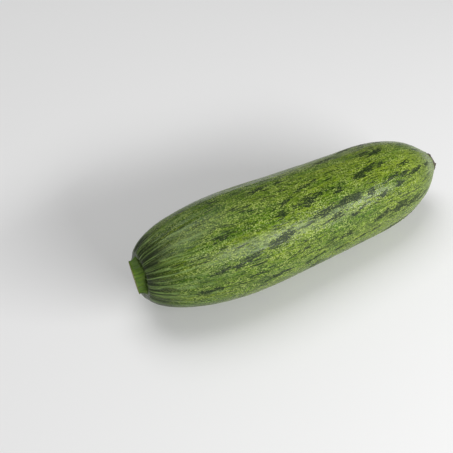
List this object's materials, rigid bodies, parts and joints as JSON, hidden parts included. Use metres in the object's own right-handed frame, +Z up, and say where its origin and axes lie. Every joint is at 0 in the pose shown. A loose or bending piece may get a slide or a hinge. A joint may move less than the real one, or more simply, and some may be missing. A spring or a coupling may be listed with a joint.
{
  "type": "courgette",
  "caption": "Whole fresh courgette lying on its side, mottled light green skin with dark broken streaks, short cut stem and dried blossom scar.",
  "frame": {"origin": "on the surface that the courgette lies on, under the middle of its box", "axes": "+Z up, +X along the courgette from its stem end to its blossom end, -Y the side that its slight bow bulges to"},
  "size_m": [0.181, 0.0504, 0.0499],
  "materials": {
    "fruit_skin": "waxy green skin with pale flecks and dark broken streaks",
    "stem_skin": "ridged yellow-green stalk with a pale dry cut face",
    "dried_blossom": "dry, corky and dark brown"
  },
  "bodies": {
    "root": {"fruit": "fruit_skin", "stem": "stem_skin", "blossom_remnant": "dried_blossom"}
  },
  "joints": []
}
